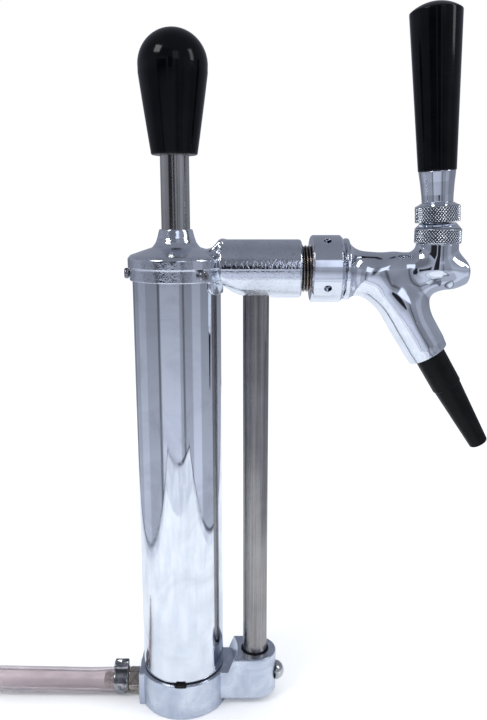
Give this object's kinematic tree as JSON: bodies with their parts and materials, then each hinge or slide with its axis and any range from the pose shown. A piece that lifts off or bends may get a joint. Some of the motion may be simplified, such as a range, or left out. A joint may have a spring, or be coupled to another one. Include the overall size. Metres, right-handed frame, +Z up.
{
  "type": "beer tap tower",
  "caption": "Hand-pump beer tap tower: chrome air pump on a cast base, side riser, cast arm, ball-lever tap with spout nozzle, and an air hose.",
  "frame": {"origin": "centre of the base ring's underside, on the pump axis", "axes": "+Z up along the pump, +X from the pump to the tap, +Y away from the side shown"},
  "size_m": [0.3049, 0.0549, 0.4114],
  "materials": {
    "polished_chrome": "mirror chrome plate on brass and steel",
    "cast_chrome": "chrome over a lightly pebbled casting",
    "satin_casting": "satin die-cast aluminium, slightly cloudy",
    "brushed_stainless": "brushed stainless steel tube",
    "rod_steel": "ground stainless steel",
    "nickel_brass": "dull nickel over brass",
    "brass": "plain machined brass",
    "zinc_steel": "zinc plated steel",
    "black_gloss": "glossy black phenolic",
    "black_satin": "semi-matte black plastic",
    "black_rubber": "black nitrile rubber",
    "clear_hose": "translucent soft tubing, faint pink tint",
    "white_ptfe": "white fluoropolymer"
  },
  "bodies": {
    "tower": {"base_casting": "satin_casting", "barrel_gasket": "black_rubber", "base_o_ring": "black_rubber", "pump_barrel": "polished_chrome", "head_casting": "cast_chrome", "cap_screws": "zinc_steel", "rod_bushing": "brass", "valve_seat": "brass", "check_spring": "zinc_steel", "hose_barb": "nickel_brass", "air_hose": "clear_hose", "hose_clamp": "zinc_steel", "riser_tube": "brushed_stainless", "riser_o_rings": "black_rubber", "riser_gasket": "black_rubber", "riser_lock_screw": "zinc_steel", "shank": "nickel_brass", "coupling_washer": "black_rubber", "coupling_nut": "polished_chrome", "faucet_body": "polished_chrome", "ball_washer": "black_rubber", "friction_ring": "white_ptfe", "faucet_bonnet": "polished_chrome", "spout_nozzle": "black_satin"},
    "rod_seal_turn": {"rod_seal": "black_rubber"},
    "plunger": {"plunger_rod": "rod_steel", "plunger_knob": "black_gloss", "top_bumper": "black_rubber", "piston_plate": "brass", "piston_cup": "black_rubber", "piston_washer": "zinc_steel", "piston_nut": "zinc_steel"},
    "lever": {"tap_lever": "rod_steel", "lever_collar": "polished_chrome", "handle_ferrule": "polished_chrome", "tap_handle": "black_gloss"},
    "valve": {"valve_shaft": "rod_steel", "shaft_o_ring": "black_rubber", "seat_washer": "black_rubber", "shaft_nut": "rod_steel"},
    "ball": {"check_ball": "zinc_steel"}
  },
  "joints": [
    {"name": "plunger_spin", "type": "hinge", "parent": "tower", "child": "rod_seal_turn", "pos_m": [0, 0, 0.28], "axis": [0, 0, 1], "continuous": true},
    {"name": "plunger_stroke", "type": "slide", "parent": "rod_seal_turn", "child": "plunger", "axis": [0, 0, 1], "range_m": [-0.036, 0.174]},
    {"name": "lever_tilt", "type": "hinge", "parent": "tower", "child": "lever", "pos_m": [0.1471, 0, 0.288], "axis": [0, 1, 0], "range_deg": [0, 22]},
    {"name": "valve_slide", "type": "slide", "parent": "tower", "child": "valve", "axis": [1, 0, 0], "range_m": [-0.0047, 0]},
    {"name": "check_ball_lift", "type": "slide", "parent": "tower", "child": "ball", "axis": [0, 0, -1], "range_m": [0, 0.002], "stiffness_N_per_m": 60, "springref_m": -0.002, "deforming": ["check_spring"]}
  ],
  "couplings": [
    {"joint": "valve_slide", "follows": "lever_tilt", "m_per_rad": -0.012}
  ]
}
